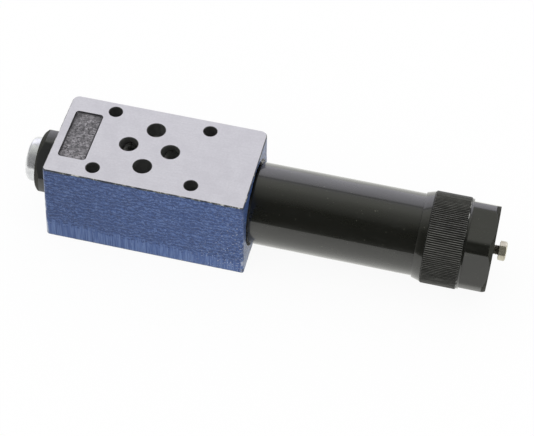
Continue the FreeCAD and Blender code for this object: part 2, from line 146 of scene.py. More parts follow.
class Shading:
    """A shader tree, with one short call for each kind of node that the scene uses."""

    def __init__(self, tree, coordinate):
        self.tree = tree
        self.place = self.node("TexCoord").outputs[coordinate]

    def feed(self, socket, value):
        """Links a socket to another node's output, or sets its value."""
        if isinstance(value, bpy.types.NodeSocket):
            self.tree.links.new(value, socket)
        elif socket.type == "RGBA":
            socket.default_value = (*value, 1.0)
        else:
            socket.default_value = value

    def node(self, kind, inputs=(), **settings):
        made = self.tree.nodes.new("ShaderNode" + kind)
        for key, value in settings.items():
            setattr(made, key, value)
        for key, value in dict(inputs).items():
            self.feed(made.inputs[key], value)
        return made

    def axis(self, letter):
        return self.node("SeparateXYZ", {"Vector": self.place}).outputs[letter]

    def off(self, letter, middle):
        """The distance along one axis from a place in millimetres."""
        return self.math("ABSOLUTE", self.math("SUBTRACT", self.axis(letter), middle * MM))

    def off_line(self, **line):
        """The distance from the line through two coordinates in millimetres, along the third axis."""
        sides = {key: self.math("SUBTRACT", self.axis(key), at * MM) for key, at in line.items()}
        across = self.node("CombineXYZ", sides).outputs[0]
        return self.node("VectorMath", {0: across}, operation="LENGTH").outputs["Value"]

    def stretched(self, x, y, z):
        """The place with a scale of its own along each axis, in features per metre."""
        return self.node("Mapping", {"Vector": self.place, "Scale": (x, y, z)}).outputs[0]

    def warped(self, scale, amount):
        """The place shifted about by a coarse noise, by up to the amount in millimetres."""
        made = self.node("TexNoise", {"Vector": self.place, "Scale": scale, "Detail": 1.0})
        centred = {0: made.outputs["Color"], 1: (0.5, 0.5, 0.5)}
        shift = self.node("VectorMath", centred, operation="SUBTRACT").outputs[0]
        shift = self.node("VectorMath", {0: shift, "Scale": 2 * amount * MM}, operation="SCALE").outputs[0]
        return self.node("VectorMath", {0: self.place, 1: shift}).outputs[0]

    def noise(self, place, scale=1.0, detail=3.0, roughness=0.55):
        inputs = {"Vector": place, "Scale": scale, "Detail": detail, "Roughness": roughness}
        return self.node("TexNoise", inputs).outputs[0]

    def math(self, operation, first, second=0.0):
        return self.node("Math", {0: first, 1: second}, operation=operation).outputs[0]

    def plus(self, value, other, share=1.0):
        """The value plus a share of another one."""
        return self.node("Math", {0: other, 1: share, 2: value}, operation="MULTIPLY_ADD").outputs[0]

    def times(self, first, *others):
        for other in others:
            first = self.math("MULTIPLY", first, other)
        return first

    def between(self, value, low, high):
        """0 below the low value, 1 above the high one and smooth between."""
        inputs = {"Value": value, "From Min": low, "From Max": high}
        return self.node("MapRange", inputs, interpolation_type="SMOOTHSTEP").outputs[0]

    def blend(self, factor, first, second):
        """A number between two others."""
        return self.node("Mix", {0: factor, 2: first, 3: second}).outputs[0]

    def mix(self, factor, first, second):
        """A colour between two others."""
        return self.node("Mix", {0: factor, 6: first, 7: second}, data_type="RGBA").outputs[2]

    def ramp(self, value, *stops):
        """A colour, or a grey from plain numbers, along a value."""
        made = self.node("ValToRGB", {"Fac": value})
        elements = made.color_ramp.elements
        for k, (position, shade) in enumerate(stops):
            element = elements[k] if k < 2 else elements.new(position)
            element.position = position
            element.color = (*shade, 1) if isinstance(shade, tuple) else (shade, shade, shade, 1)
        return made.outputs["Color"]

    def bump(self, height, distance):
        """A normal from a height, whose full range is the distance in millimetres."""
        return self.node("Bump", {"Height": height, "Distance": distance * MM, "Strength": 1.0}).outputs[0]


class Finish(Shading):
    """A material with one Principled shader."""

    def __init__(self, name, **sockets):
        self.material = bpy.data.materials.new(name)
        self.material.use_nodes = True
        super().__init__(self.material.node_tree, "Object")
        self.shader = self.tree.nodes["Principled BSDF"]
        self.set(**sockets)

    def set(self, **sockets):
        for key, value in sockets.items():
            self.feed(self.shader.inputs[key.replace("_", " ")], value)


def chipped(finish):
    """A flaked edge: the pattern of its flecks, and their dark, olive and bare colours."""
    flakes = finish.noise(finish.place, scale=520, detail=4.0, roughness=0.7)
    shade = finish.ramp(
        flakes,
        (0.40, (0.018, 0.026, 0.050)),
        (0.49, (0.050, 0.058, 0.060)),
        (0.56, (0.130, 0.135, 0.110)),
        (0.64, (0.520, 0.520, 0.470)),
    )
    return flakes, shade


def cast_relief(paint):
    """Crisp wavy wrinkles, which give way to upright streaks near the foot, higher on the right."""
    swell = paint.noise(paint.stretched(750, 750, 1100), roughness=0.65)
    wavy = {"Vector": paint.warped(240, 1.6), "Scale": 170, "Distortion": 9.0, "Detail": 3.0}
    wavy.update({"Detail Scale": 3.6, "Detail Roughness": 0.65})
    folds = paint.node("TexWave", wavy, bands_direction="Z").outputs["Fac"]
    wrinkles = paint.mix(0.58, folds, swell)
    streaks = paint.noise(paint.stretched(1900, 1900, 80), detail=2.0)
    ragged = paint.noise(paint.stretched(900, 900, 20), detail=2.0)
    height = paint.plus(paint.axis("Z"), ragged, -14 * MM)
    height = paint.plus(height, paint.axis("X"), 0.03)
    foot = paint.between(height, 2 * MM, -1 * MM)
    return paint.mix(foot, wrinkles, paint.math("ADD", streaks, 0.18))


def paint_wear_and_highlight(paint, shade):
    """The paint's wear, flecks towards the right and chips along both rims, and a painted highlight in
    patches along the two front corners.
    """
    fleck_shade = (0.58, 0.61, 0.70)
    corner_highlight = (0.42, 0.46, 0.56)
    flecks = paint.between(paint.noise(paint.place, scale=1300, detail=2.0), 0.61, 0.70)
    to_right = paint.plus(paint.axis("X"), paint.axis("Z"), -0.5)
    to_right = paint.between(to_right, 8 * MM, 42 * MM)
    shade = paint.mix(paint.times(flecks, to_right), shade, fleck_shade)

    broken = paint.noise(paint.place, scale=260, detail=4.0, roughness=0.65)
    from_top = paint.plus(paint.axis("Z"), broken, -2.4 * MM)
    upper = paint.between(from_top, (block_high.z - 2.0) * MM, (block_high.z - 1.6) * MM)
    from_sole = paint.plus(paint.axis("Z"), broken, 0.8 * MM)
    lower = paint.between(from_sole, 1.0 * MM, 0.75 * MM)
    _, bare = chipped(paint)
    shade = paint.mix(paint.math("MAXIMUM", upper, lower), shade, bare)

    # Painted highlight: a paler strip, in patches, along the lower part of the two front corners.
    middle = (block_low.x + block_high.x) / 2
    half = (block_high.x - block_low.x) / 2
    outward = paint.plus(paint.off("X", middle), broken, -1.6 * MM)
    corner = paint.between(outward, (half - 2.5) * MM, (half - 1.7) * MM)
    front = paint.between(paint.axis("Y"), (block_low.y + 1.0) * MM, (block_low.y + 0.5) * MM)
    height = paint.plus(paint.axis("Z"), paint.axis("X"), 0.5)
    below = paint.between(height, 38 * MM, 30 * MM)
    patchy = paint.between(broken, 0.42, 0.55)
    return paint.mix(paint.times(corner, front, below, patchy), shade, corner_highlight)


def cast_paint():
    """Blue paint over the rough casting, with a painted highlight and shade along its wrinkles, and
    painted shade that makes it a little darker and duller to the left.
    """
    paint = Finish("cast_paint", Roughness=0.5, Specular_IOR_Level=0.25)
    # Painted shade: the paint is made darker, and its coat duller, towards the left end.
    painted_shade_left = paint.between(paint.axis("X"), 20 * MM, -40 * MM)
    paint.set(Coat_Weight=paint.plus(0.40, painted_shade_left, -0.08), Coat_Roughness=0.12, Coat_IOR=1.5)
    relief = cast_relief(paint)
    # The wrinkles' colour is lighter on their crests and darker in their hollows: a painted highlight and
    # shade over the blue.
    shade = paint.ramp(
        relief,
        (0.22, (0.012, 0.036, 0.138)),
        (0.42, (0.029, 0.071, 0.224)),
        (0.60, (0.048, 0.101, 0.284)),
        (0.78, (0.114, 0.187, 0.402)),
    )
    shade = paint.mix(paint.times(painted_shade_left, 0.15), shade, (0.0, 0.0, 0.0))
    patches = paint.noise(paint.place, scale=90, detail=2.0)
    shade = paint.mix(paint.ramp(patches, (0.40, 0.0), (0.60, 0.10)), shade, (0.04, 0.09, 0.26))
    paint.set(Base_Color=paint_wear_and_highlight(paint, shade), Normal=paint.bump(relief, 0.5))
    return paint.material


def chipped_edge():
    """The narrow edge between paint and ground metal, where the paint has flaked."""
    edge = Finish("chipped_edge", Roughness=0.45)
    flakes, shade = chipped(edge)
    edge.set(Base_Color=shade, Normal=edge.bump(flakes, 0.1))
    return edge.material


def ground_face():
    """The ground mating face, mottled, with faint grinding lines along the block."""
    dull = (0.51, 0.50, 0.535)
    face = Finish("ground_face", Metallic=0.5)
    lines = face.noise(face.stretched(90, 5200, 90), detail=2.0)
    clouds = face.noise(face.place, scale=160)
    grain = face.noise(face.place, scale=1100, roughness=0.65)
    shade = face.ramp(lines, (0.3, (0.615, 0.608, 0.645)), (0.7, (0.662, 0.654, 0.692)))
    shade = face.mix(face.ramp(clouds, (0.38, 0.3), (0.58, 0.0)), shade, dull)
    shade = face.mix(face.ramp(grain, (0.38, 0.35), (0.62, 0.0)), shade, dull)
    face.set(Base_Color=shade, Roughness=face.ramp(clouds, (0.3, 0.36), (0.7, 0.43)))
    face.set(Normal=face.bump(lines, 0.003))
    return face.material


def pocket_cast():
    """The unpainted as-cast floor of the pocket: coarse and mottled, with painted shade in an uneven dark
    border and on the walls near the rim.
    """
    cast = Finish("pocket_cast", Roughness=0.75)
    grit = cast.noise(cast.place, scale=1250, roughness=0.65)
    blotches = cast.noise(cast.place, scale=420, detail=2.0)
    shade = cast.ramp(grit, (0.38, (0.040, 0.038, 0.044)), (0.62, (0.380, 0.365, 0.390)))
    shade = cast.mix(cast.ramp(blotches, (0.40, 0.65), (0.60, 0.0)), shade, (0.09, 0.088, 0.095))
    # Painted shade: an uneven dark border round the floor, and the walls darkened near the rim.
    soft = 0.3
    pale_zone = (("X", POCKET_X[0] + 0.8, POCKET_X[1] - 0.5), ("Y", POCKET_Y[0] + 1.6, POCKET_Y[1] + 0.1))
    inside = []
    for letter, low, high in pale_zone:
        spot = cast.plus(cast.axis(letter), grit, 0.7 * MM)
        inside.append(cast.between(spot, (low - soft) * MM, (low + soft) * MM))
        inside.append(cast.between(spot, (high + soft) * MM, (high - soft) * MM))
    border = cast.plus(0.9, cast.times(*inside), -0.9)
    painted_shade_rim = cast.between(cast.axis("Z"), (block_high.z - 0.6) * MM, (block_high.z - 0.3) * MM)
    shade = cast.mix(cast.math("MAXIMUM", painted_shade_rim, border), shade, (0.018, 0.018, 0.020))
    cast.set(Base_Color=shade, Normal=cast.bump(grit, 0.2))
    return cast.material


def dark_bore():
    """Drilled and cored walls: painted shade makes them dark at both faces and port P darker throughout,
    and painted light makes them paler deep down.
    """
    bore = Finish("dark_bore", Roughness=0.55)
    rings = bore.noise(bore.stretched(300, 300, 2600), detail=2.0)
    shade = bore.ramp(rings, (0.35, (0.150, 0.152, 0.148)), (0.65, (0.210, 0.212, 0.206)))
    from_middle = bore.off("Z", axis_z)
    # Painted shade: darker towards both faces.
    shade = bore.mix(bore.between(from_middle, 10 * MM, 20.5 * MM), shade, (0.038, 0.039, 0.036))
    past_port = bore.between(bore.off_line(X=PORT_P[0], Y=PORT_P[1]), 4.0 * MM, 4.5 * MM)
    # Painted light: paler deep down, outside port P.
    deep = bore.times(bore.between(from_middle, 13.5 * MM, 11.5 * MM), past_port)
    shade = bore.mix(deep, shade, (0.88, 0.88, 0.86))
    # Painted shade: port P half way to dark throughout.
    shade = bore.mix(bore.plus(0.5, past_port, -0.5), shade, (0.02, 0.02, 0.02))
    bore.set(Base_Color=shade, Normal=bore.bump(rings, 0.03))
    return bore.material


def gloss_black(name, handled=0.0, dull=0.0):
    """Gloss black coating on turned steel, speckled and rubbed, with painted light at the housing's seat;
    on the end plug the same lighter black covers it all.
    """
    black = Finish(name, IOR=1.5, Coat_Weight=1.0, Coat_Roughness=0.05 + dull, Coat_IOR=1.5)
    turning = black.noise(black.stretched(2600, 120, 120), detail=2.0)
    specks = black.noise(black.place, scale=900, detail=2.0)
    rub = black.noise(black.stretched(70, 260, 260), detail=4.0, roughness=0.6)
    rubbed = black.ramp(rub, (0.55 - dull, 0.0), (0.80 - dull, 0.2 + handled))
    # Lighter black left of a place by the housing's seat: on the housing, painted light that lifts the
    # shaded seat bevel; the end plug lies wholly left of it, so there it is the plug's own colour.
    seat_light_and_plug_tone = black.between(black.axis("X"), (HOUSING_SEAT_X + 2.2) * MM, (HOUSING_SEAT_X + 1.2) * MM)
    shade = black.ramp(specks, (0.69, (0.0066, 0.0070, 0.0040)), (0.77, (0.055, 0.055, 0.042)))
    shade = black.mix(rubbed, shade, (0.022, 0.021, 0.017))
    shade = black.mix(seat_light_and_plug_tone, shade, (0.022, 0.023, 0.022))
    black.set(Base_Color=shade, Roughness=black.ramp(rub, (0.35, 0.24 + dull), (0.70, 0.42 + dull)))
    black.set(Normal=black.bump(black.plus(turning, specks, 0.5), 0.003))
    return black.material


def matte_black():
    """The turned bevels, where the black is dull and faintly olive."""
    dull = Finish("matte_black", Roughness=0.6, Specular_IOR_Level=0.2)
    turning = dull.noise(dull.stretched(2600, 120, 120), detail=2.0)
    shade = dull.ramp(turning, (0.3, (0.012, 0.012, 0.008)), (0.7, (0.022, 0.022, 0.015)))
    dull.set(Base_Color=shade, Normal=dull.bump(turning, 0.003))
    return dull.material


def knurl_black():
    """The knurl's black, lighter on the crests, partly rubbed and partly a painted highlight, with painted
    glints round two places at its end.
    """
    glint_z = axis_z + 7.5
    black = Finish("knurl_black", Specular_IOR_Level=0.4)
    black.set(Coat_Weight=0.5, Coat_Roughness=0.15, Coat_IOR=1.5)
    rub = black.noise(black.stretched(160, 800, 800), roughness=0.6)
    # The crests' paler black: rub, and partly a painted highlight along each ridge.
    crest = black.between(black.off_line(Y=0.0, Z=axis_z), (knurl_r - 0.16) * MM, (knurl_r - 0.02) * MM)
    crest = black.times(crest, black.ramp(rub, (0.35, 0.35), (0.65, 1.0)))
    shade = black.mix(crest, (0.012, 0.012, 0.010), (0.15, 0.15, 0.138))
    # Painted glints: pale patches near the knurl's end, in two places.
    end = black.between(black.axis("X"), (knurl_end_x - 0.45) * MM, (knurl_end_x - 0.30) * MM)
    patchy = black.between(black.noise(black.place, scale=230, detail=2.0), 0.44, 0.54)
    apart = black.between(black.off("Z", glint_z), 9.0 * MM, 10.2 * MM)
    shade = black.mix(black.times(end, patchy, apart), shade, (0.42, 0.42, 0.40))
    black.set(Base_Color=shade, Roughness=black.ramp(rub, (0.35, 0.35), (0.65, 0.5)))
    return black.material


def zinc_plate(name, pale, dull, oily_below=None):
    """Cloudy zinc plating with fine turning marks, dark with oil below a place along X."""
    zinc = Finish(name, Metallic=0.7, IOR=1.6)
    turning = zinc.noise(zinc.stretched(3200, 60, 60), detail=2.0)
    clouds = zinc.noise(zinc.place, scale=380)
    shade = zinc.mix(zinc.ramp(clouds, (0.35, 0.0), (0.65, 0.6)), pale, dull)
    if oily_below is not None:
        oil = zinc.between(zinc.axis("X"), (oily_below + 0.2) * MM, (oily_below - 0.1) * MM)
        shade = zinc.mix(zinc.times(oil, 0.75), shade, (0.05, 0.045, 0.035))
    zinc.set(Base_Color=shade, Roughness=zinc.ramp(clouds, (0.3, 0.20), (0.7, 0.32)))
    zinc.set(Normal=zinc.bump(turning, 0.006))
    return zinc.material


def turned_metal(name, pale, dull, roughness):
    """Bare metal turned or ground about the valve axis."""
    metal = Finish(name, Metallic=1.0)
    turning = metal.noise(metal.stretched(4200, 80, 80), detail=2.0)
    clouds = metal.noise(metal.place, scale=250)
    shade = metal.mix(metal.ramp(turning, (0.3, 0.0), (0.7, 1.0)), pale, dull)
    metal.set(Base_Color=shade, Roughness=metal.ramp(clouds, (0.3, roughness), (0.7, roughness + 0.15)))
    metal.set(Normal=metal.bump(turning, 0.004))
    return metal.material


def rubber():
    """Matte black seal rubber."""
    seal = Finish("seal_rubber")
    grain = seal.noise(seal.place, scale=1800)
    shade = seal.ramp(grain, (0.3, (0.010, 0.010, 0.011)), (0.7, (0.026, 0.026, 0.027)))
    seal.set(Base_Color=shade, Roughness=seal.ramp(grain, (0.3, 0.5), (0.7, 0.65)))
    seal.set(Normal=seal.bump(grain, 0.01))
    return seal.material


def soft_min(first, second, blend=0.12):
    """The smaller of two radii, with a small round where they cross."""
    return -blend * np.logaddexp(-first / blend, -second / blend)


def prism(flats, sides, turn):
    """A limit on the radius: a prism across the flats, one of which faces the turn's angle."""
    def limit(x, r, angles):
        step = 2 * math.pi / sides
        off = (angles - math.radians(turn) + step / 2) % step - step / 2
        return soft_min(flats / 2 / np.cos(off), np.full_like(angles, r))
    return limit


def ridges(teeth, tip_r, depth):
    """A limit on the radius: straight rounded ridges along the axis."""
    def limit(x, r, angles):
        return np.minimum(r, tip_r - depth / 2 * (1 - np.cos(angles * teeth)))
    return limit


def thread(pitch, depth):
    """A limit on the radius: the grooves of a thread."""
    def limit(x, r, angles):
        phase = (x / pitch - angles / (2 * math.pi)) % 1.0
        return r - depth * np.abs(2 * phase - 1)
    return limit


def softened(outline, soft):
    """The closed outline with a small curve for each of its corners."""
    points = []
    for k, (x, r, limit) in enumerate(outline):
        here = Vector((x, r))
        before = Vector(outline[k - 1][:2]) - here
        after = Vector(outline[(k + 1) % len(outline)][:2]) - here
        cut = min(soft, before.length / 3, after.length / 3)
        start = here + before.normalized() * cut
        end = here + after.normalized() * cut
        for t in (0, 1 / 3, 2 / 3, 1):
            point = start * (1 - t) ** 2 + here * (2 * t * (1 - t)) + end * (t * t)
            points.append((point.x, point.y, limit))
    return points


def stepped(x_from, r_from, x_to, r_to, limit, count):
    """Stations at even steps between two corners of an outline, both left out."""
    shares = [k / count for k in range(1, count)]
    return [(x_from + (x_to - x_from) * s, r_from + (r_to - r_from) * s, limit) for s in shares]


def skin(name, outline, samples, soft=SOFT_EDGE):
    """A closed skin round the valve axis through an outline of (x, radius, limit on the radius)."""
    angles = np.arange(samples) * (2 * math.pi / samples)
    rings = []
    for x, r, limit in softened(outline, soft):
        radii = np.full(samples, r) if limit is None else limit(x, r, angles)
        rings.append(np.stack([np.full(samples, x), radii * np.cos(angles), radii * np.sin(angles)], 1))
    points = (np.concatenate(rings) + (0, 0, axis_z)) * MM
    ring, spot = np.meshgrid(np.arange(len(rings)), np.arange(samples), indexing="ij")
    next_ring = (ring + 1) % len(rings)
    next_spot = (spot + 1) % samples
    corners = [(ring, spot), (ring, next_spot), (next_ring, next_spot), (next_ring, spot)]
    faces = np.stack([(a * samples + b).ravel() for a, b in corners], 1)
    mesh = bpy.data.meshes.new(name)
    mesh.from_pydata(points.tolist(), [], faces.tolist())
    return finished_object(name, mesh)


def finished_object(name, mesh):
    """A piece from its mesh, with outward normals, and smooth up to its real edges."""
    work = bmesh.new()
    work.from_mesh(mesh)
    bmesh.ops.recalc_face_normals(work, faces=work.faces)
    work.to_mesh(mesh)
    work.free()
    for face in mesh.polygons:
        face.use_smooth = True
    mesh.set_sharp_from_angle(angle=math.radians(SHARP_ANGLE))
    piece = bpy.data.objects.new(name, mesh)
    bpy.context.scene.collection.objects.link(piece)
    return piece


def spring_housing():
    """The long black tube."""
    end_x = tube_high.x
    outline = [
        (tube_low.x, SPIGOT_BORE_R, None),
        (tube_low.x, SPIGOT_R, None),
        (HOUSING_SEAT_X, SPIGOT_R, None),
        (HOUSING_SEAT_X, tube_r - HOUSING_BEVEL, None),
        (HOUSING_SEAT_X + HOUSING_BEVEL, tube_r, None),
        (end_x - SOFT_EDGE, tube_r, None),
        (end_x, tube_r - HOUSING_END_BEVEL, None),
        (end_x, HOUSING_BORE_R, None),
        (BORE_STEP_X, HOUSING_BORE_R, None),
        (BORE_STEP_X, SPIGOT_BORE_R, None),
    ]
    return skin("housing_tube", outline, 240, soft=0.3)


def knob_cup():
    """The knob's conical lip, core, neck and hexagon, with its bores."""
    end_x = knob_high.x
    bevel_x = end_x - HEX_BEVEL
    end_r = HEX_CORNER_R - HEX_BEVEL
    root_r = knurl_r - KNURL_DEPTH
    core_r = root_r - KNURL_DEPTH
    bore_r = tube_r + SKIRT_GAP
    hexagon = prism(HEX_FLATS, 6, HEX_TURN)
    outline = [
        (knob_low.x, bore_r, None),
        (knob_low.x, LIP_R, None),
        (knurl_x, root_r, None),
        (knurl_x, core_r, None),
        (knurl_end_x, core_r, None),
        (knurl_end_x, root_r, None),
        (hex_x, root_r, None),
        (hex_x, HEX_CORNER_R, hexagon),
        (bevel_x, HEX_CORNER_R, hexagon),
        *stepped(bevel_x, HEX_CORNER_R, end_x, end_r, hexagon, 10),
        (end_x, end_r, hexagon),
        (end_x, SCREW_BORE_R, None),
        (spindle_end_x, SCREW_BORE_R, None),
        (spindle_end_x, TAIL_R, None),
        (knob_floor_x, TAIL_R, None),
        (knob_floor_x, bore_r, None),
    ]
    return dull_bevel(skin("knob_cup", outline, 540), 1, bevel_x + HEX_CORNER_R)


def knob_knurl():
    """The knurled band, as a ring with rounded ridges on the knob's core."""
    knurl = ridges(KNURL_TEETH, knurl_r, KNURL_DEPTH)
    inner_r = knurl_r - 2.5 * KNURL_DEPTH
    outline = [
        (knurl_x, inner_r, None),
        (knurl_x, knurl_r - KNURL_BEVEL, knurl),
        (knurl_x + KNURL_BEVEL, knurl_r, knurl),
        (knurl_end_x - KNURL_BEVEL, knurl_r, knurl),
        (knurl_end_x, knurl_r - KNURL_BEVEL, knurl),
        (knurl_end_x, inner_r, None),
    ]
    return skin("knob_knurl", outline, 8 * KNURL_TEETH)


def lock_screw():
    """The small hexagon-head screw in the knob's end, with its thread and washer face."""
    end_x = screw_high.x
    head = prism(SCREW_FLATS, 6, PLUG_TURN)
    corner_r = SCREW_FLATS / math.sqrt(3)
    washer_r = SCREW_FLATS / 2 - 0.1
    end_r = washer_r - 0.15
    bevel_x = end_x - SCREW_BEVEL
    washer_x = screw_head_x + WASHER_FACE
    outline = [
        (screw_low.x, POLE_R, None),
        (screw_low.x, SCREW_R - 0.2, None),
        *stepped(screw_low.x, SCREW_R, screw_head_x, SCREW_R, thread(SCREW_PITCH, SCREW_DEPTH), 64),
        (screw_head_x, SCREW_R, None),
        (screw_head_x, washer_r, None),
        (washer_x, washer_r, None),
        (washer_x, corner_r, head),
        (bevel_x, corner_r, head),
        *stepped(bevel_x, corner_r, end_x, end_r, head, 6),
        (end_x, end_r, head),
        (end_x, POLE_R, None),
    ]
    return skin("lock_screw", outline, 96, soft=0.06)


def end_plug():
    """The black plug in the left end, with its four wrench flats and gauge port."""
    outer_x = plug_low.x
    bevel_r = PLUG_HEAD_R - PLUG_BEVEL
    bevel_x = outer_x + PLUG_BEVEL
    flats = prism(PLUG_FLATS, 4, PLUG_TURN)
    port_r = GAUGE_THREAD_R + THREAD_GAP
    port_end_x = gauge_high.x + GAUGE_CLEAR
    outline = [
        (outer_x, port_r, None),
        (outer_x, bevel_r, flats),
        *stepped(outer_x, bevel_r, bevel_x, PLUG_HEAD_R, flats, 10),
        (bevel_x, PLUG_HEAD_R, flats),
        (PLUG_SEAT_X, PLUG_HEAD_R, flats),
        (PLUG_SEAT_X, PLUG_THREAD_R, None),
        (plug_high.x, PLUG_THREAD_R, None),
        (plug_high.x, OIL_HOLE_R, None),
        (port_end_x, OIL_HOLE_R, None),
        (port_end_x, port_r, None),
    ]
    return dull_bevel(skin("plug_head", outline, 384), -1, bevel_r - outer_x)


def gauge_plug():
    """The zinc-plated plug in the gauge port, with a rounded rim and a hexagon socket."""
    top_x = gauge_low.x
    head_x = top_x + GAUGE_HEAD
    groove_x = head_x + GAUGE_SEAL_PROUD - GAUGE_SEAL_WIDTH
    socket = prism(GAUGE_SOCKET, 6, PLUG_TURN)
    socket_x = top_x + GAUGE_SOCKET
    socket_r = GAUGE_SOCKET / math.sqrt(3)
    rim = []
    for angle in (math.radians(20), math.radians(45), math.radians(70)):
        along = GAUGE_ROUND * (1 - math.cos(angle))
        inward = GAUGE_ROUND * (1 - math.sin(angle))
        rim.append((top_x + along, gauge_head_r - inward, None))
    outline = [
        (socket_x, POLE_R, None),
        (socket_x, socket_r, socket),
        (top_x + GAUGE_SOCKET_BEVEL[0], socket_r, socket),
        (top_x, socket_r + GAUGE_SOCKET_BEVEL[1], None),
        (top_x, gauge_head_r - GAUGE_ROUND, None),
        *rim,
        (top_x + GAUGE_ROUND, gauge_head_r, None),
        (head_x, gauge_head_r, None),
        (head_x, GAUGE_SEAL_R, None),
        (groove_x, GAUGE_SEAL_R, None),
        (groove_x, GAUGE_THREAD_R, None),
        (gauge_high.x, GAUGE_THREAD_R, None),
        (gauge_high.x, POLE_R, None),
    ]
    return skin("gauge_plug_head", outline, 240, soft=0.2)


def dull_bevel(piece, way, reach):
    """Gives the second finish to an end bevel's faces, where radius and way along X pass the reach."""
    for face in piece.data.polygons:
        x, y, z = face.center / MM
        face.material_index = int(way * x + math.hypot(y, z - axis_z) > reach - 0.06)
    return piece


def hashed_noise(places, scale, seed):
    """Smooth noise from -1 to 1 at an array of places, features about 1 / scale apart."""
    place = places * scale + seed
    cell = np.floor(place)
    part = place - cell
    part = part * part * (3 - 2 * part)
    total = np.zeros(len(places))
    for corner in np.ndindex(2, 2, 2):
        spot = cell + corner
        mixed = np.sin(spot @ np.array((127.1, 311.7, 74.7))) * 43758.5453
        weight = np.prod(np.where(corner, part, 1 - part), axis=1)
        total += weight * (2 * (mixed - np.floor(mixed)) - 1)
    return total


CAST, EDGE, GROUND, POCKET, BORE = range(5)


def block_region(face):
    """Which finish a face of the block has, from where it lies."""
    x, y, z = face.calc_center_median() / MM
    up = abs(face.normal.z)
    from_end = min(x - block_low.x, block_high.x - x) - END_DRAFT
    from_side = min(y - block_low.y, block_high.y - y)
    from_face = min(z, block_high.z - z)
    corner = abs(y) > abs(block_low.y) - CORNER_ZONE - 1 and from_end < CORNER_ZONE
    over_pocket = POCKET_X[0] < x + 0.01 and x - 0.01 < POCKET_X[1]
    over_pocket = over_pocket and POCKET_Y[0] < y + 0.01 and y - 0.01 < POCKET_Y[1]
    if over_pocket and block_high.z - POCKET_REACH < z < block_high.z - TOUCHING:
        return POCKET
    if up > 0.99 and from_face < TOUCHING:
        return GROUND
    if from_face < GROUND_EDGE and 0.4 < up < 0.95 and (from_end < 1 or corner or from_side < 1):
        return EDGE
    if up < 0.2 and (from_end < 0.1 or from_side < 0.1 or corner):
        return CAST
    return BORE


def sliced(work, layer, region, normal, places):
    """Cuts a region's faces along parallel planes."""
    for place in places:
        faces = [f for f in work.faces if f[layer] == region]
        edges = {e for f in faces for e in f.edges}
        verts = {v for f in faces for v in f.verts}
        geometry = faces + list(edges) + list(verts)
        bmesh.ops.bisect_plane(work, geom=geometry, dist=1e-7, plane_co=normal * place, plane_no=normal)


def roughen(work, layer):
    """Moves the cast faces' points in and out a little, and the pocket's floor more coarsely."""
    for region, waves in ((CAST, CAST_WAVES), (POCKET, POCKET_WAVES)):
        verts = list({v for f in work.faces if f[layer] == region for v in f.verts})
        held = {v for f in work.faces if f[layer] == GROUND for v in f.verts}
        verts = [v for v in verts if v not in held]
        places = np.array([v.co for v in verts]) / MM
        lift = sum(high * hashed_noise(places, scale, seed) for seed, (scale, high) in enumerate(waves))
        reach = sum(high for scale, high in waves)
        ways = []
        for v in verts:
            way = Vector()
            for f in v.link_faces:
                if f[layer] == region:
                    way += f.normal
            ways.append(way.normalized())
        for v, way, amount in zip(verts, ways, lift):
            v.co += way * ((amount - reach) * MM)


def cast_block():
    """The CAD block with its cast faces cut fine and made uneven, and its ground faces left flat."""
    work = bmesh.new()
    work.from_mesh(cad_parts["valve_body"].data)
    bmesh.ops.remove_doubles(work, verts=work.verts, dist=1e-6)
    bmesh.ops.dissolve_limit(
        work, angle_limit=math.radians(0.2), verts=work.verts, edges=work.edges, delimit={"NORMAL"})
    layer = work.faces.layers.int.new("region")
    for face in work.faces:
        face[layer] = block_region(face)
    along_x, along_y, along_z = Vector((1, 0, 0)), Vector((0, 1, 0)), Vector((0, 0, 1))
    step = CAST_STEP * MM
    edge = GROUND_EDGE * MM
    sliced(work, layer, CAST, along_z, np.arange(edge + step, block_high.z * MM - edge, step))
    sliced(work, layer, CAST, along_x, np.arange(block_low.x * MM + step, block_high.x * MM, step))
    sliced(work, layer, CAST, along_y, np.arange(block_low.y * MM + step, block_high.y * MM, step))
    for way, (start, end) in ((along_x, POCKET_X), (along_y, POCKET_Y)):
        sliced(work, layer, POCKET, way, np.arange(start + POCKET_STEP, end, POCKET_STEP) * MM)
    for v in {v for f in work.faces if f[layer] == POCKET for v in f.verts}:
        if v.co.z < (block_high.z - POCKET_WALL) * MM:
            v.co.z += POCKET_RAISED * MM
    work.normal_update()
    roughen(work, layer)
    bmesh.ops.triangulate(work, faces=[f for f in work.faces if len(f.verts) > 4])
    mesh = bpy.data.meshes.new("cast_block")
    work.to_mesh(mesh)
    regions = np.array([f[layer] for f in work.faces], np.int32)
    work.free()
    mesh.attributes.remove(mesh.attributes["region"])
    piece = finished_object("cast_block", mesh)
    mesh.polygons.foreach_set("material_index", regions)
    mesh.polygons.foreach_set("use_smooth", regions != GROUND)
    return piece


def dress(piece, node, body, materials):
    """Gives a piece its finishes and its body, and hides the CAD node that it stands for."""
    for material in materials:
        piece.data.materials.append(material)
    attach(piece, body)
    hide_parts(node)


def dress_nodes(material, *names):
    """Gives CAD nodes that stay as they are a finish of their own."""
    for name in names:
        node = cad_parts[name]
        node.data.materials.clear()
        node.data.materials.append(material)


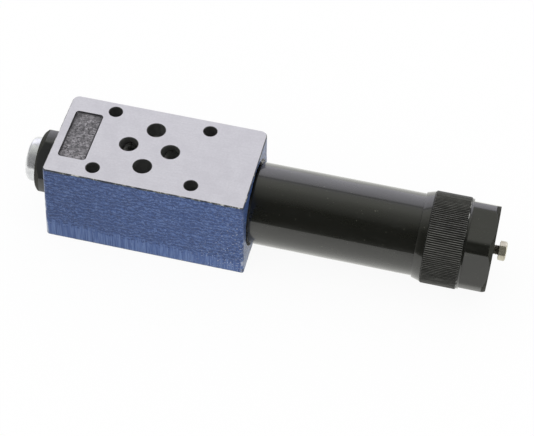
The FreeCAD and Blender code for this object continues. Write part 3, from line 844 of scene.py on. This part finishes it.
def lit_floor():
    """The pale floor, which shows as white and keeps a soft shadow."""
    mesh = bpy.data.meshes.new("floor")
    reach = 4.0
    front = -0.2
    corners = [(-reach, front, 0), (reach, front, 0), (reach, reach, 0), (-reach, reach, 0)]
    mesh.from_pydata(corners, [], [(0, 1, 2, 3)])
    floor = bpy.data.objects.new("floor", mesh)
    floor.location.z = -0.05 * MM
    bpy.context.scene.collection.objects.link(floor)
    pale = Finish("floor_white", Base_Color=(0.93, 0.93, 0.93), Roughness=0.9)
    pale.set(Specular_IOR_Level=0.0)
    rays = pale.node("LightPath").outputs
    seen = pale.math("MAXIMUM", rays["Is Camera Ray"], rays["Is Glossy Ray"])
    seen = pale.math("MAXIMUM", seen, rays["Is Transmission Ray"])
    warm = pale.mix(rays["Is Camera Ray"], (0.98, 0.98, 0.94), (1.0, 1.0, 1.0))
    glow = pale.node("Emission", {"Color": warm, "Strength": 1.0}).outputs[0]
    glowing = {0: pale.times(seen, 0.93), 1: pale.shader.outputs[0], 2: glow}
    mixed = pale.node("MixShader", glowing).outputs[0]
    pale.tree.links.new(mixed, pale.tree.nodes["Material Output"].inputs["Surface"])
    mesh.materials.append(pale.material)


def studio_world():
    """A soft even light, in which shiny pieces see a dark room, a light overhead and a pale wall."""
    world = bpy.data.worlds.new("studio")
    world.use_nodes = True
    bpy.context.scene.world = world
    studio = Shading(world.node_tree, "Generated")
    across, depth, height = (studio.axis(letter) for letter in "XYZ")
    angle = studio.math("ARCTAN2", height, studio.times(depth, -1.0))
    turn = studio.plus(0.5, angle, 1 / (2 * math.pi))

    def at(degrees):
        return degrees / 360 + 0.5

    room = studio.ramp(
        turn,
        (at(-179), 0.50), (at(-90), 0.50), (at(-15), 0.46), (at(-8), 0.03),
        (at(55), 0.03), (at(75), 0.14), (at(92), 0.22), (at(108), 0.36),
        (at(124), 0.38), (at(128), 0.12), (at(133), 0.62), (at(150), 0.70), (at(179), 0.60),
    )
    tint = studio.ramp(
        turn,
        (at(0), (0.95, 0.96, 0.86)), (at(118), (0.95, 0.96, 0.88)),
        (at(132), (0.93, 0.92, 1.0)), (at(179), (0.93, 0.92, 1.0)),
    )
    ends = studio.plus(0.12, studio.between(across, 0.3, -0.3), 0.2)
    ends = studio.plus(ends, studio.between(across, 0.88, 0.95), 4.0)
    sideways = studio.between(studio.math("ABSOLUTE", across), 0.55, 0.85)
    mirrored = studio.blend(sideways, studio.times(room, 2.08), ends)
    soft = studio.plus(studio.plus(0.88, height, 0.22), across, -0.40)
    rays = studio.node("LightPath").outputs
    matte = rays["Is Diffuse Ray"]
    seen = rays["Is Camera Ray"]
    light = studio.blend(seen, studio.blend(matte, mirrored, soft), 1.0)
    background = studio.tree.nodes["Background"]
    plain = studio.math("MAXIMUM", seen, matte)
    studio.feed(background.inputs["Color"], studio.mix(plain, tint, (1.0, 1.0, 1.0)))
    studio.feed(background.inputs["Strength"], light)


def camera():
    """The camera at the photograph's viewing angle."""
    place = Vector((0.13400, -0.43664, 0.52184))
    aim = Vector((0.05015, -0.00725, 0.02000))
    roll = math.radians(2.876)
    turn = (aim - place).to_track_quat("-Z", "Y").to_matrix() @ Matrix.Rotation(roll, 3, "Z")
    lens = bpy.data.cameras.new("camera")
    lens.lens = 110.03
    lens.sensor_width = 36.0
    lens.clip_start = 0.01
    piece = bpy.data.objects.new("camera", lens)
    piece.matrix_world = Matrix.Translation(place) @ turn.to_4x4()
    bpy.context.scene.collection.objects.link(piece)
    bpy.context.scene.camera = piece


block_finishes = (cast_paint(), chipped_edge(), ground_face(), pocket_cast(), dark_bore())
black_gloss = gloss_black("gloss_black")
black_knob = gloss_black("gloss_black_knob", handled=0.2)
black_plug = gloss_black("satin_black_plug", handled=0.8, dull=0.15)
black_bevel = matte_black()
black_knurl = knurl_black()
bright_zinc = zinc_plate("bright_zinc", (0.84, 0.85, 0.87), (0.58, 0.59, 0.62))
yellow_zinc = zinc_plate("yellow_zinc", (0.68, 0.65, 0.54), (0.34, 0.30, 0.22), screw_head_x)
ground_steel = turned_metal("ground_steel", (0.62, 0.62, 0.63), (0.46, 0.46, 0.48), 0.20)
spring_steel = turned_metal("spring_steel", (0.26, 0.26, 0.28), (0.16, 0.16, 0.18), 0.35)
brass = turned_metal("bush_brass", (0.72, 0.55, 0.25), (0.55, 0.40, 0.17), 0.25)
seal_rubber = rubber()

dress(cast_block(), "valve_body", "valve", block_finishes)
dress(spring_housing(), "spring_housing", "valve", (black_gloss,))
dress(end_plug(), "end_plug", "valve", (black_plug, black_bevel))
dress(gauge_plug(), "gauge_plug", "valve", (bright_zinc,))
dress(knob_cup(), "adjusting_knob", "adjuster", (black_knob, black_bevel))
dress(knob_knurl(), "adjusting_knob", "adjuster", (black_knurl,))
dress(lock_screw(), "jam_screw", "adjuster", (yellow_zinc,))
dress_nodes(
    ground_steel, "control_spool", "spool_jet", "spring_plate", "adjusting_piston", "adjusting_spindle")
dress_nodes(spring_steel, "control_spring", "bush_retaining_ring")
dress_nodes(brass, "thread_bush")
dress_nodes(seal_rubber, *[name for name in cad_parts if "seal" in name])

lit_floor()
studio_world()
camera()
bpy.context.scene.view_settings.view_transform = "Standard"
